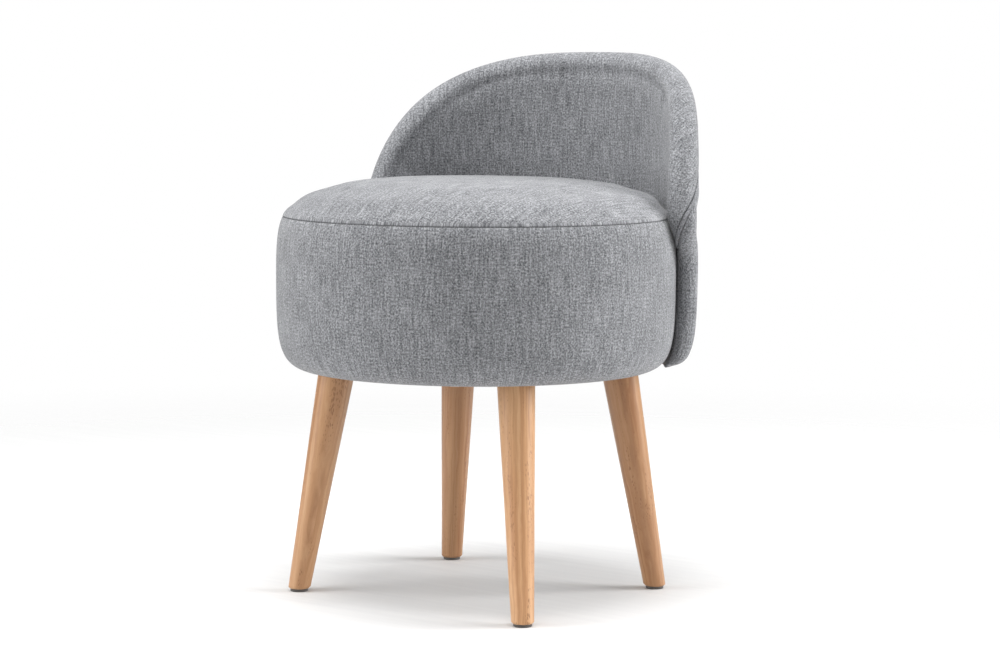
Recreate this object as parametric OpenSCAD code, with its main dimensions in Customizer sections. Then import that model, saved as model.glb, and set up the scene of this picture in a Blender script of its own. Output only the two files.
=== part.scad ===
// Round upholstered pouf with a low wrap-around back, on four splayed turned legs.
// +Z is up, the front faces -Y, and the origin is under the middle of the whole footprint.

/* [Seat] */
// Widest diameter of the covered drum
seat_d = 402; // [390:1:414]
// Underside of the covered drum
under_z = 230; // [222:1:236]
// Height of the side band, from the underside to the crown's seam
band_rise = 153; // [148:1:160]
// How far the seam lies inside the widest line, on the radius
seam_inset = 6.5; // [4:0.5:9]
// Rise of the crown above the seam
crown_rise = 38.5; // [30:0.5:46]
// How far the crown's shoulder leans in from the seam
shoulder_in = 13.5; // [10:0.5:18]
// How far the crown's shoulder climbs from the seam
shoulder_up = 25; // [20:0.5:28]
// How far in from the widest line the crown runs level
crown_level_in = 41; // [33:1:60]
// How far below the seam the side band is widest
belly_drop = 58; // [48:1:68]
// How far in from the widest line the underside is flat
under_flat_in = 33; // [30:1:36]
// Height of the side band's rounded lower corner
corner_rise = 31; // [27:1:38]

/* [Back] */
// How far the back's inner face above the seat is inside the drum's widest line
back_step = 5; // [3:0.5:6]
// Rise of the back's top above the seat's seam
back_rise = 166; // [150:1:186]
// How far the top of the back leans in over the seat
back_lean = 3.5; // [0:0.5:5]
// How far above the seam the back is widest
wide_rise = 5; // [2:1:10]
// How far below the seam its arch springs
arch_drop = 83; // [75:1:90]
// Half of the angle that the arch spans at that height
wrap_angle = 69.5; // [66:0.5:72]
// Half of the angle that the back wraps round the drum below the seat
low_wrap_angle = 56.5; // [54:0.5:59]
// How far below the seam the back has drawn in to that angle
neck_drop = 48; // [40:1:53]
// Fullness of the back's arch, 2 being an ellipse
arch_power = 2.7; // [2.4:0.05:3]
// How far below the seam the back's outer face starts to round under
round_drop = 33; // [28:1:38]
// Clearance between the back and the widest line of the drum
back_ease = 0.8; // [0.7:0.1:0.9]
// How far the back's inner face follows the drum's lower corner inwards, as a drop in height
back_tuck = 14; // [12:1:18]
// How far the back's underside is above the drum's
back_lift = 2; // [1.5:0.5:3]
// Width of the flat welt between the back's two covers
welt_w = 4; // [3:0.5:5]
// How far the welt stands proud of the covers
welt_proud = 0.8; // [0.4:0.1:1.2]
// How far the welt lies behind the edge roll
welt_inset = 36; // [28:1:40]
// How far above the seam the welt starts to turn forward
welt_turn_rise = 47; // [42:1:57]
// How far below the seam the welt's lower ends are
welt_end_drop = 29; // [25:1:31]

/* [Covers and foam] */
// Thickness of the woven cover
fabric_t = 1.4; // [1:0.1:1.8]
// Width of the seam allowance turned in at the seat seam
allowance_w = 8; // [6:1:10]
// Width of the side band's hem under the lower board
hem_w = 15; // [12:1:16]
// Thickness of the dust cover
dust_t = 0.6; // [0.4:0.1:1]
// How far the dust cover laps over that hem
dust_lap = 5; // [3:1:8]

/* [Drum frame] */
// How far in from the widest line the two round boards end
board_in = 31; // [30:0.5:32]
// Thickness of the lower board
base_t = 15; // [12:1:18]
// Thickness of the seat board
seat_board_t = 12; // [9:1:15]
// How far below the seam the seat board's top is
pad_drop = 23; // [19:1:31]
// Chamfer round the lower board
base_chamfer = 6; // [5.5:0.5:7]
// Thickness of the bent hardboard wall
wall_t = 3; // [2.5:0.5:4]
// Width of a post
post_w = 30; // [24:1:34]
// Depth of a post, from the wall inwards
post_depth = 28; // [24:1:32]
// Diameter of a breather hole in the seat board
breather_d = 22; // [16:1:30]
// Radius of the ring of breather holes
breather_ring_r = 80; // [60:1:100]

/* [Back frame] */
// How far outside the drum's widest line the bent plywood starts
ply_out = 5.5; // [5:0.5:6]
// Thickness of the plywood
ply_t = 7; // [6:0.5:7.5]
// Thickness of the padding outside the plywood
outer_pad_t = 9; // [8.5:0.5:12]
// Place of the plywood's lower edge, as a share of a post's height
ply_low_share = 0.242; // [0.235:0.001:0.27]
// How far the plywood's edge stays inside the roll's middle
ply_edge = 4; // [3:0.5:5]
// Angle of the two bolted posts from the middle of the back
bolt_angle = 24; // [20:1:26]
// Place of the lower pair of back bolts, as a share of a post's height
bolt_low_share = 0.39; // [0.38:0.005:0.43]
// Place of the upper pair of back bolts, as a share of a post's height
bolt_high_share = 0.705; // [0.645:0.005:0.715]
// Diameter of a back bolt
bolt_d = 6; // [5:1:6]

/* [Legs] */
// How far outside the round boards a front foot stands
front_foot_out = 9.6; // [0:0.1:15]
// How far outside them a rear foot stands
rear_foot_out = 16.5; // [5:0.1:18]
// Angle of a front foot from straight ahead, round the drum's axis
front_foot_angle = 52.5; // [48:0.5:54]
// Angle of a rear foot from straight behind
rear_foot_angle = 45.5; // [43:0.5:50]
// How far the leg's top is inside its foot, sideways
lean_x = 29.5; // [22:0.5:34]
// How far the leg's top is inside its foot, front to back
lean_y = 26.5; // [20:0.5:32]
// Diameter of a leg at the foot
foot_d = 22; // [20:0.5:26]
// Diameter of a leg at the drum
leg_top_d = 37; // [34:0.5:40]
// Chamfer round the foot
foot_chamfer = 1.2; // [0.5:0.1:2]
// Diameter of a leg bolt
leg_bolt_d = 8; // [6:1:8]
// Length of a leg bolt inside the leg
leg_bolt_in = 42; // [30:1:50]
// Diameter of a foot glide
glide_d = 18; // [14:0.5:19]
// Thickness of a foot glide
glide_t = 3; // [2:0.5:5]
// Chamfer round a glide
glide_chamfer = 0.5; // [0.3:0.1:1]
// Length of a glide's nail
glide_nail = 14; // [10:1:18]
// Diameter of a glide's nail
glide_nail_d = 2.6; // [2:0.2:3]

/* [Hardware] */
// Side of a leg's threaded plate
plate_w = 44; // [40:1:46]
// Thickness of a threaded plate
plate_t = 2.5; // [2:0.5:3]
// Diameter of a threaded plate's bush
bush_d = 15; // [13:0.5:17]
// Height of a threaded plate's bush
bush_h = 7; // [5:0.5:9]
// Diameter of a wood screw
screw_d = 3.5; // [3:0.5:4]
// Length of a plate screw under its head
plate_screw_l = 14; // [11:1:15]
// Length of a post screw under its head
post_screw_l = 30; // [26:1:34]
// Diameter of a screw head
screw_head_d = 7; // [6:0.5:7.5]
// Height of a screw head
screw_head_h = 2; // [1.8:0.1:2.4]
// Diameter of a back bolt's washer
washer_d = 16; // [14:1:18]
// Thickness of that washer
washer_t = 1.5; // [1:0.5:2]
// Height of a back bolt's head
bolt_head_h = 3.5; // [3:0.5:4]
// Diameter of a back bolt's head
bolt_head_d = 12; // [11:0.5:13]
// Width of the key's socket in that head
bolt_key_d = 5; // [4:0.5:6]
// Diameter of a tee nut's flange
tee_d = 19; // [17:1:21]
// Thickness of a tee nut's flange
tee_t = 1.5; // [1:0.5:2]
// Diameter of a tee nut's barrel
tee_barrel_d = 8; // [7.5:0.5:8.5]

/* [Hidden] */
$fn = 64;
// Clearance between neighbours
gap = 0.3;
// Clearance between the back's pads and their covers
pad_gap = 0.9;
// Overrun of a cut past what it cuts
over = 1;
// A quarter turn
quarter = 90;

// Places derived from the sizes above
drum_r = seat_d / 2;
seam_r = drum_r - seam_inset;
seam_z = under_z + band_rise;
belly_z = seam_z - belly_drop;
crown_z = seam_z + crown_rise;
crown_level_r = drum_r - crown_level_in;
under_flat_r = drum_r - under_flat_in;
board_r = drum_r - board_in;
hem_r = board_r - hem_w;
dust_r = hem_r + dust_lap;
base_z = under_z + fabric_t;
base_top_z = base_z + base_t;
pad_z = seam_z - pad_drop;
seat_board_z = pad_z - seat_board_t;
wall_in_r = board_r + gap;
wall_out_r = wall_in_r + wall_t;
post_in_r = board_r - post_depth;
post_rise = seat_board_z - base_top_z;
cover_depth = fabric_t + gap;

ply_in_r = drum_r + ply_out;
ply_out_r = ply_in_r + ply_t;
ply_low_z = base_top_z + post_rise * ply_low_share;
bolt_low_z = base_top_z + post_rise * bolt_low_share;
bolt_high_z = base_top_z + post_rise * bolt_high_share;
split_r = ply_in_r - back_ease;
back_in_r = drum_r - back_step;
back_out_r = ply_out_r + outer_pad_t;
back_mid_r = (back_in_r + back_out_r) / 2;
roll_r = (back_out_r - back_in_r) / 2;
roll_len = PI * roll_r;
back_top_z = seam_z + back_rise;
roll_top_z = back_top_z - roll_r;
back_low_z = under_z + back_lift;
back_wide_z = seam_z + wide_rise;
back_neck_z = seam_z - neck_drop;
back_round_z = seam_z - round_drop;
arch_low_z = seam_z - arch_drop;
welt_turn_z = seam_z + welt_turn_rise;
welt_end_z = seam_z - welt_end_drop;
drum_y = (drum_r - back_out_r) / 2;

leg_top_z = under_z - dust_t;

// Numbers of steps along the curves
bezier_steps = 8;
arch_steps = 17;
neck_steps = 4;
turn_steps = 7;
band_steps = 6;
welt_sides = 8;

// Where the side band's upper curve leaves the seam, as shares of its width and height
side_lead_share = [0.85, 0.2];
// Where it reaches the belly's line, as a share of its height
side_tail_share = 0.5;
// Where the back's outer face bends under, as shares of its reach and height
back_bend_share = [0.37, 0.04];
back_tuck_share = 0.32;
// How unevenly the arch is stepped, to keep its steps about as long as each other
arch_step_share = 1.2;

// Angles of the six posts from the middle of the back, left and right
post_side_angle = 80;
post_front_angle = 158;

function smooth(t) = t * t * (3 - 2 * t);

function bezier(a, b, c, d, n) = [for (i = [0:n]) let (t = i / n, u = 1 - t)
    u * u * u * a + 3 * u * u * t * b + 3 * u * t * t * c + t * t * t * d];

// Points of an outline moved to its left by d
function inset(p, d) = [for (i = [0:len(p) - 1])
    let (a = p[max(i - 1, 0)], b = p[min(i + 1, len(p) - 1)], t = (b - a) / norm(b - a))
    p[i] + d * [-t.y, t.x]];

function reverse(p) = [for (i = [len(p) - 1:-1:0]) p[i]];

// Outline of the drum from the middle of its underside to its seam, and on to its crown
side_low = bezier([under_flat_r, under_z], [drum_r, under_z], [drum_r, under_z + corner_rise],
    [drum_r, belly_z], bezier_steps);
side_high = bezier([drum_r, belly_z],
    [drum_r, belly_z + (seam_z - belly_z) * side_tail_share],
    [seam_r + seam_inset * side_lead_share.x, seam_z - (seam_z - belly_z) * side_lead_share.y],
    [seam_r, seam_z], bezier_steps);
side = concat(side_low, [for (i = [1:bezier_steps]) side_high[i]]);
crown = bezier([seam_r, seam_z], [seam_r - shoulder_in, seam_z + shoulder_up],
    [crown_level_r, crown_z], [0, crown_z], bezier_steps + 2);

// The inside of the two covers, d in from their faces, with the seam allowance at its sides
function crown_inside(d, g) = concat(
    [[seam_r - allowance_w - g, seam_z + fabric_t + g]],
    [for (p = inset(crown, d)) if (p.y > seam_z + fabric_t + g + over && p.x < seam_r - over)
        [max(p.x, 0), p.y]]);
function side_inside(d, g) = concat(
    [for (p = inset(side, d)) if (p.y < seam_z - fabric_t - g - over) p],
    [[seam_r - allowance_w - g, seam_z - fabric_t - g]]);

// Radius of the drum and of the back's faces at a height
drum_table = [for (p = concat(side, crown)) [p.y, p.x]];
inner_table = [[back_low_z, lookup(back_low_z + back_tuck, drum_table) + back_ease],
    [under_z + corner_rise, drum_r + back_ease], [(belly_z + seam_z) / 2, drum_r + back_ease],
    [seam_z + fabric_t, back_in_r]];
function inner_r(z) = lean(z, lookup(z, inner_table));
// Radius at a height of a face that leans in towards the top
function lean(z, r) = r - back_lean * max(z - seam_z, 0) / (roll_top_z - seam_z);
back_seam_r = inner_r(back_low_z) + 2 * fabric_t + gap;
back_table = [for (p = bezier([back_seam_r, back_low_z],
    [back_out_r - (back_out_r - back_seam_r) * back_bend_share.x,
        back_low_z + (back_round_z - back_low_z) * back_bend_share.y],
    [back_out_r, back_low_z + (back_round_z - back_low_z) * back_tuck_share],
    [back_out_r, back_round_z], bezier_steps)) [p.y, p.x]];
function outer_r(z) = lean(z, lookup(z, back_table));

// Heights at which the back's two faces have a row of points
outer_level_shares = [0.07, 0.17, 0.38];
function inner_levels(low_z) = [low_z, under_z + corner_rise, (belly_z + seam_z) / 2,
    seam_z + fabric_t, back_top_z];
function outer_levels(low_z) = concat([low_z],
    [for (v = outer_level_shares) low_z + (back_round_z - low_z) * v], [back_round_z, back_top_z]);
foam_low_z = outer_levels(back_low_z)[1];
level_step = 3;

// The back's edge: the roll's middle line as [angle, height], from the top down to low_z
function even(t) = let (a = pow(t, arch_step_share), b = pow(1 - t, arch_step_share)) a / (a + b);
arch_end = acos(pow((back_wide_z - arch_low_z) / (roll_top_z - arch_low_z), arch_power / 2));
wide_wrap_angle = wrap_angle * pow(sin(arch_end), 2 / arch_power);
function half_path(low_z) = concat(
    [for (i = [0:arch_steps]) let (s = arch_end * even(i / arch_steps))
        [wrap_angle * pow(sin(s), 2 / arch_power),
            arch_low_z + (roll_top_z - arch_low_z) * pow(cos(s), 2 / arch_power)]],
    [for (i = [1:neck_steps]) let (t = i / neck_steps)
        [wide_wrap_angle - (wide_wrap_angle - low_wrap_angle) * smooth(t),
            back_wide_z - (back_wide_z - back_neck_z) * t]],
    [for (z = [for (v = reverse(outer_level_shares)) back_low_z + (back_round_z - back_low_z) * v])
        if (z > low_z + over) [low_wrap_angle, z]],
    [[low_wrap_angle, low_z]]);
function full_path(low_z) = let (h = half_path(low_z), n = len(h))
    concat([for (i = [n - 1:-1:1]) [-h[i].x, h[i].y]], h);

// Arc length per degree round the back's middle radius
deg = back_mid_r * PI / 180;
// Angle up to which the columns stand upright, and how far inside the edge the last one's foot is
fan_angle = 43;
foot_in_angle = 3;
fan_end_angle = low_wrap_angle - foot_in_angle;
// How far the outer face follows the edge behind the welt before it fans out
band_past = 12;
band_w = welt_inset + band_past;

// One column for each point of the path, as places in the sheet, which are [arc length, height]:
// middle of the roll, outward direction, foot of the fan line, knee of the outer face's line
function columns(low_z) = let (p = full_path(low_z), n = len(p), h = (n - 1) / 2,
    up = len([for (q = p) if (abs(q.x) < fan_angle && q.y > welt_turn_z) q]) / 2)
    [for (i = [0:n - 1])
        let (a = p[max(i - 1, 0)], b = p[min(i + 1, n - 1)],
            t = i == 0 || i == n - 1 ? [0, i == 0 ? 1 : -1]
                : [(b.x - a.x) * deg, b.y - a.y] / norm([(b.x - a.x) * deg, b.y - a.y]),
            mid = [p[i].x * deg, p[i].y],
            out = [-t.y, t.x],
            j = abs(i - h),
            foot = [deg * sign(i - h) * (j < up ? abs(p[i].x)
                : fan_angle + (fan_end_angle - fan_angle) * (j - up) / (h - up)), low_z])
        [mid, out, foot, mid - out * lookup(mid.y, [[back_wide_z, gap], [welt_turn_z, band_w]])]];

// Places from the foot (left out when skip is 1) up to a point above it, at the given heights
function rungs(foot, to, levels, skip = 0) = let (n = len(levels) - 1, rise = to.y - foot.y)
    [for (k = [skip:n - 1]) foot + (to - foot) * (rise < 2 * n * level_step ? k / n
        : (min(levels[k], to.y - (n - k) * level_step) - foot.y) / rise)];

// A point of the back: place in the sheet and radius
function wrap(m, r) = [r * sin(m.x / deg), drum_y + r * cos(m.x / deg), m.y];

// A point between the two faces: b is -1 on the inner face and 1 on the outer, d is the depth
function bulge(m, b, d) = let (i = inner_r(m.y), o = outer_r(m.y))
    wrap(m, (i + o) / 2 + b * ((o - i) / 2 - d));

// A point round the edge roll, where h runs from 0 at the inner face through roll_len at the
// outer face and on along the band behind the roll
function edge(c, h, d) = let (turn = 2 * quarter * min(h, roll_len) / roll_len - quarter)
    bulge(c[0] + c[1] * ((roll_r - d) * cos(turn) - max(h - roll_len, 0)), sin(turn), d);

// Place of the welt along h, and the half width kept free for it
function welt_h(c) = lookup(c[0].y, [[welt_end_z, welt_w], [welt_turn_z, roll_len + welt_inset]]);
function welt_half(c) = c[0].y < welt_end_z ? gap / 2 : welt_w / 2 + pad_gap;
function band_h(c) = roll_len + norm(c[0] - c[3]);

// A solid through closed loops of points, one loop after another, closed at both ends
module loft(loops) {
    m = len(loops);
    n = len(loops[0]);
    function at(w, i) = w * n + i % n;
    sides = [for (w = [0:m - 2], i = [0:n - 1]) each (w < (m - 1) / 2) == (i < n / 2)
        ? [[at(w, i), at(w + 1, i + 1), at(w + 1, i)], [at(w, i), at(w, i + 1), at(w + 1, i + 1)]]
        : [[at(w, i), at(w, i + 1), at(w + 1, i)], [at(w, i + 1), at(w + 1, i + 1), at(w + 1, i)]]];
    pairs = [for (i = [0:floor((n - 1) / 2) - 1]) each concat(
        [[i, n - 1 - i, i + 1]],
        i + 1 < n - 2 - i ? [[i + 1, n - 1 - i, n - 2 - i]] : [])];
    ends = concat(pairs, [for (t = pairs) [t.x + (m - 1) * n, t.z + (m - 1) * n, t.y + (m - 1) * n]]);
    polyhedron([for (l = loops) each l], concat(sides, ends), convexity = 10);
}

// A disc or ring made from an outline turned round the drum's axis
module turned(outline) {
    translate([0, drum_y, 0]) rotate_extrude($fn = 96) polygon(outline);
}

// What lies along the drum's radius at an angle from the middle of the back and a height
module radial(angle, z) {
    translate([0, drum_y, z]) rotate([0, 0, -angle]) rotate([-quarter, 0, 0]) children();
}

module back_bolt_holes(d, from_r, to_r) {
    for (side = [-1, 1], z = [bolt_low_z, bolt_high_z])
        radial(side * bolt_angle, z) translate([0, 0, from_r]) cylinder(d = d, h = to_r - from_r);
}

// Sides of the four legs: left or right, front or rear
LEGS = [[-1, -1], [1, -1], [-1, 1], [1, 1]];
function foot_r(s) = board_r + (s.y < 0 ? front_foot_out : rear_foot_out);
function foot_angle(s) = s.y < 0 ? front_foot_angle : rear_foot_angle;
function foot_x(s) = foot_r(s) * sin(foot_angle(s));
function foot_y(s) = foot_r(s) * cos(foot_angle(s)) + s.y * drum_y;
// Middle of a leg at a height
function leg_at(s, z) = let (up = z / leg_top_z)
    [s.x * (foot_x(s) - lean_x * up), s.y * (foot_y(s) - lean_y * up), z];
leg_lean = atan2(norm([lean_x, lean_y]), leg_top_z);
leg_len = norm([lean_x, lean_y, leg_top_z]);
function leg_turn(s) = atan2(-s.y * lean_y, -s.x * lean_x);

// Places what stands along +Z on the leg's axis, with its zero at the given height
module on_leg(s, z) {
    translate(leg_at(s, z)) rotate([0, leg_lean, leg_turn(s)]) rotate([0, 0, -leg_turn(s)]) children();
}

// Places what stands on a level plate over the leg, squared to the drum
module on_plate(s, z) {
    p = leg_at(s, base_top_z);
    translate([p.x, p.y, z]) rotate([0, 0, atan2(p.y - drum_y, p.x)]) children();
}
module leg_bolt_hole(s, d) {
    on_leg(s, leg_top_z - plate_w) cylinder(d = d, h = 2 * plate_w);
}
plate_hole = plate_w / 2 - screw_head_d / 2 - over;
module at_plate_screws(s, z) {
    for (x = [-1, 1], y = [-1, 1]) on_plate(s, z) translate([x * plate_hole, y * plate_hole, 0]) children();
}

POSTS = [for (side = [-1, 1], a = [bolt_angle, post_side_angle, post_front_angle]) side * a];
post_mid_r = board_r - post_depth / 2;
module at_posts(z) {
    for (a = POSTS)
        translate([0, drum_y, z]) rotate([0, 0, quarter - a]) translate([post_mid_r, 0, 0]) children();
}

module base_board() {
    color("burlywood") difference() {
        turned([[0, base_z], [board_r - base_chamfer, base_z], [board_r, base_z + base_chamfer],
            [board_r, base_top_z], [0, base_top_z]]);
        for (s = LEGS) {
            leg_bolt_hole(s, leg_bolt_d + over);
            at_plate_screws(s, base_top_z + plate_t - plate_screw_l - gap)
                cylinder(d = screw_d + gap, h = plate_screw_l + over);
        }
        at_posts(base_z - over) cylinder(d = screw_d + gap, h = base_t + 2 * over);
        at_posts(base_z - over) cylinder(d = screw_head_d + gap, h = over + screw_head_h + gap);
    }
}

module seat_board() {
    color("burlywood") difference() {
        turned([[0, seat_board_z], [board_r, seat_board_z], [board_r, pad_z], [0, pad_z]]);
        at_posts(seat_board_z - over) cylinder(d = screw_d + gap, h = seat_board_t + 2 * over);
        at_posts(pad_z - screw_head_h - gap) cylinder(d = screw_head_d + gap, h = screw_head_h + over);
        translate([0, drum_y, seat_board_z - over]) {
            cylinder(d = breather_d, h = seat_board_t + 2 * over);
            for (a = [0:60:300]) rotate([0, 0, a]) translate([breather_ring_r, 0, 0])
                cylinder(d = breather_d, h = seat_board_t + 2 * over);
        }
    }
}

// A post at an angle from the middle of the back, rounded to the wall outside
module post(angle) {
    bore = post_screw_l + gap;
    color("navajowhite") difference() {
        intersection() {
            translate([0, drum_y, base_top_z]) cylinder(r = board_r, h = post_rise);
            translate([0, drum_y, base_top_z]) rotate([0, 0, quarter - angle])
                translate([post_in_r, -post_w / 2, 0]) cube([post_depth + over, post_w, post_rise]);
        }
        if (abs(angle) == bolt_angle) back_bolt_holes(bolt_d + gap, post_in_r - over, board_r + over);
        at_posts(base_top_z - over) cylinder(d = screw_d + gap, h = over + bore);
        at_posts(seat_board_z - bore) cylinder(d = screw_d + gap, h = over + bore);
    }
}

module drum_wall() {
    color("peru") difference() {
        turned([[wall_in_r, base_z + base_chamfer], [wall_out_r, base_z + base_chamfer],
            [wall_out_r, pad_z], [wall_in_r, pad_z]]);
        back_bolt_holes(bolt_d + gap, wall_in_r - over, wall_out_r + over);
    }
}

// The foam's inner line stays clear of the wall, its outer line clear of the cover
module side_foam() {
    inner = wall_out_r + gap;
    outer = [for (p = side_inside(cover_depth, gap)) if (p.x > inner + over && p.y < pad_z - over) p];
    color("khaki") difference() {
        turned(concat([[inner, outer[0].y]], outer,
            [[lookup(pad_z, drum_table) - cover_depth, pad_z], [inner, pad_z]]));
        back_bolt_holes(bolt_d + gap, wall_in_r, drum_r);
    }
}

module seat_foam() {
    low = [for (p = side_inside(cover_depth, gap)) if (p.y > pad_z + over) p];
    color("khaki") turned(concat([[0, pad_z], [lookup(pad_z, drum_table) - cover_depth, pad_z]],
        low, crown_inside(cover_depth, gap)));
}

module seat_crown_cover() {
    color("lightslategray") turned(concat([[seam_r - allowance_w, seam_z]], crown,
        reverse(crown_inside(fabric_t, 0))));
}

module seat_side_cover() {
    color("lightslategray") difference() {
        turned(concat([[hem_r, under_z]], side, [[seam_r - allowance_w, seam_z]],
            reverse(side_inside(fabric_t, 0)), [[hem_r, under_z + fabric_t]]));
        back_bolt_holes(bolt_d + gap, wall_out_r, drum_r + over);
    }
}

module dust_cover() {
    color("dimgray") difference() {
        turned([[0, leg_top_z], [dust_r, leg_top_z], [dust_r, under_z], [0, under_z]]);
        for (s = LEGS) leg_bolt_hole(s, leg_bolt_d + over);
    }
}

ply_levels = [ply_low_z, (belly_z + seam_z) / 2, seam_z, back_top_z];

// The plywood has a square edge inside the roll's middle line
module back_plywood() {
    color("burlywood") difference() {
        loft([for (c = columns(ply_low_z)) let (top = c[0] - c[1] * ply_edge,
            m = concat(rungs(c[2], top, ply_levels), [top]))
            concat([for (v = m) wrap(v, lean(v.y, ply_in_r))],
                [for (v = reverse(m)) wrap(v, lean(v.y, ply_out_r))])]);
        back_bolt_holes(tee_barrel_d + gap, ply_in_r - over, ply_out_r + over);
    }
}

// Turn of the edge roll at which its radius reaches r, at a depth
function turn_at(m, r, d) = let (i = inner_r(m.y), o = outer_r(m.y))
    asin(min(max((r - (i + o) / 2) / ((o - i) / 2 - d), -1), 1));

// The inner foam fills up to the plywood, and the whole depth below it
foam_depth = cover_depth + pad_gap;
// How far below the plywood the inner foam starts to narrow
split_lead = 9;
function split_at(z) = min(outer_r(z) - foam_depth, lean(z,
    lookup(z, [[ply_low_z - split_lead, back_out_r], [ply_low_z - over, split_r]])));
module back_inner_foam() {
    d = foam_depth;
    split_levels = [foam_low_z, outer_levels(back_low_z)[2], ply_low_z - split_lead, ply_low_z - over,
        back_round_z, back_top_z];
    color("khaki") difference() {
        loft([for (c = columns(foam_low_z)) let (turn = turn_at(c[0], split_at(c[0].y), d)) concat(
            [for (m = rungs(c[2], c[0], inner_levels(foam_low_z))) bulge(m, -1, d)],
            [for (i = [0:3]) let (t = (turn + quarter) * i / 3 - quarter)
                bulge(c[0] + c[1] * (roll_r - d) * cos(t), sin(t), d)],
            [for (m = reverse(rungs(c[2], c[0], split_levels))) wrap(m, split_at(m.y))])]);
        back_bolt_holes(bolt_d + gap, drum_r, ply_in_r + over);
    }
}

// The outer foam covers the plywood's face and folds over its edge
module back_outer_foam() {
    d = foam_depth;
    foam_levels = [ply_low_z, back_round_z, back_top_z];
    color("khaki") difference() {
        loft([for (c = columns(ply_low_z)) let (top = c[0] - c[1] * (ply_edge - pad_gap),
            turn = turn_at(c[0], lean(c[0].y, ply_in_r), d)) concat(
                [for (m = rungs(c[2], top, ply_levels)) wrap(m, lean(m.y, ply_out_r + back_ease))],
                [for (r = [ply_out_r + back_ease, ply_in_r]) wrap(top, lean(top.y, r))],
                [for (i = [0:turn_steps - 2]) let (t = turn + (quarter - turn) * i / (turn_steps - 2))
                    bulge(c[0] + c[1] * (roll_r - d) * cos(t), sin(t), d)],
                [for (m = concat([c[3]], reverse(rungs(c[2], c[3], foam_levels)))) bulge(m, 1, d)])]);
        for (side = [-1, 1], z = [bolt_low_z, bolt_high_z])
            radial(side * bolt_angle, z) translate([0, 0, ply_out_r - over])
                cylinder(d = tee_d + 2 * gap, h = over + tee_t + gap);
    }
}

module back_inner_cover() {
    function skin(c, d) = let (end = welt_h(c) - welt_half(c)) concat(
        [for (m = rungs(c[2], c[0], inner_levels(back_low_z))) bulge(m, -1, d)],
        [for (i = [0:turn_steps]) edge(c, i == turn_steps ? end
            : min(roll_len * i / (turn_steps - 1), end * i / turn_steps), d)]);
    color("lightslategray") difference() {
        loft([for (c = columns(back_low_z)) concat(skin(c, 0), reverse(skin(c, fabric_t)))]);
        back_bolt_holes(bolt_d + gap, back_in_r - over, ply_in_r);
    }
}

module back_outer_cover() {
    function skin(c, d) = let (start = welt_h(c) + welt_half(c), end = band_h(c)) concat(
        [for (i = [0:band_steps]) edge(c, start + (end - start) * i / band_steps, d)],
        [for (m = reverse(rungs(c[2], c[3], outer_levels(back_low_z)))) bulge(m, 1, d)]);
    color("lightslategray")
        loft([for (c = columns(back_low_z)) concat(reverse(skin(c, fabric_t)), skin(c, 0))]);
}

module back_welt() {
    line = [for (c = columns(back_low_z)) if (c[0].y >= welt_end_z)
        [edge(c, welt_h(c), 0), edge(c, welt_h(c), fabric_t)]];
    n = len(line);
    color("slategray") loft([for (i = [0:n - 1]) let (
        t = line[min(i + 1, n - 1)][0] - line[max(i - 1, 0)][0],
        out = line[i][0] - line[i][1],
        side = cross(t, out) / norm(cross(t, out)),
        up = cross(side, t) / norm(cross(side, t)),
        mid = line[i][0] + up * (welt_proud - fabric_t) / 2)
        [for (k = [0:welt_sides - 1]) let (a = 360 * k / welt_sides)
            mid + side * cos(a) * welt_w / 2 + up * sin(a) * (welt_proud + fabric_t) / 2]]);
}

// A tapered leg, level at its top and foot, with bores for its bolt and its glide's nail
module leg(s) {
    color("peru") difference() {
        on_leg(s, 0) translate([0, 0, -foot_d])
            cylinder(d1 = foot_d - (leg_top_d - foot_d) * foot_d / leg_len,
                d2 = leg_top_d + (leg_top_d - foot_d) * foot_d / leg_len, h = leg_len + 2 * foot_d);
        translate(leg_at(s, 0) - [leg_top_d, leg_top_d, 2 * foot_d])
            cube([2 * leg_top_d, 2 * leg_top_d, 2 * foot_d + glide_t]);
        translate(leg_at(s, leg_top_z) - [leg_top_d, leg_top_d, 0])
            cube([2 * leg_top_d, 2 * leg_top_d, 2 * foot_d]);
        translate(leg_at(s, glide_t)) rotate_extrude() polygon([[foot_d / 2 - foot_chamfer, -over],
            [foot_d, -over], [foot_d, foot_d / 2 + foot_chamfer + over], [foot_d / 2 - foot_chamfer, 0]]);
        on_leg(s, leg_top_z) translate([0, 0, -leg_bolt_in - gap])
            cylinder(d = leg_bolt_d + gap, h = 2 * leg_bolt_in);
        translate(leg_at(s, glide_t) - [0, 0, over])
            cylinder(d = glide_nail_d + gap, h = glide_nail + over + gap);
    }
}

// Hanger bolts: a wood thread with a point below, a machine thread with a chamfer above
module leg_bolts() {
    bolt_out = base_t + fabric_t + dust_t + plate_t + bush_h + over;
    r = leg_bolt_d / 2;
    color("silver") for (s = LEGS) on_leg(s, leg_top_z) rotate_extrude() polygon([[0, -leg_bolt_in],
        [r, leg_bolt_d - leg_bolt_in], [r, bolt_out - over], [r - over, bolt_out], [0, bolt_out]]);
}

module leg_threaded_plates() {
    module slab(s, h) {
        on_plate(s, base_top_z) translate([-plate_w / 2, -plate_w / 2, 0]) cube([plate_w, plate_w, h]);
    }
    color("silver") for (s = LEGS) difference() {
        union() {
            slab(s, plate_t);
            intersection() {
                on_leg(s, base_top_z) translate([0, 0, -bush_h])
                    cylinder(d = bush_d, h = plate_t + 2 * bush_h);
                slab(s, plate_t + 2 * bush_h);
            }
        }
        leg_bolt_hole(s, leg_bolt_d + gap);
        at_plate_screws(s, base_top_z - over) cylinder(d = screw_d + gap, h = plate_t + 2 * over);
    }
}

// A pan head wood screw standing head up, with the underside of its head at zero
module wood_screw(l) {
    r = screw_d / 2;
    rotate_extrude() polygon([[0, -l], [r, screw_d - l], [r, 0], [screw_head_d / 2, 0],
        [screw_head_d / 2, screw_head_h / 2], [r, screw_head_h], [0, screw_head_h]]);
}

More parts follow.
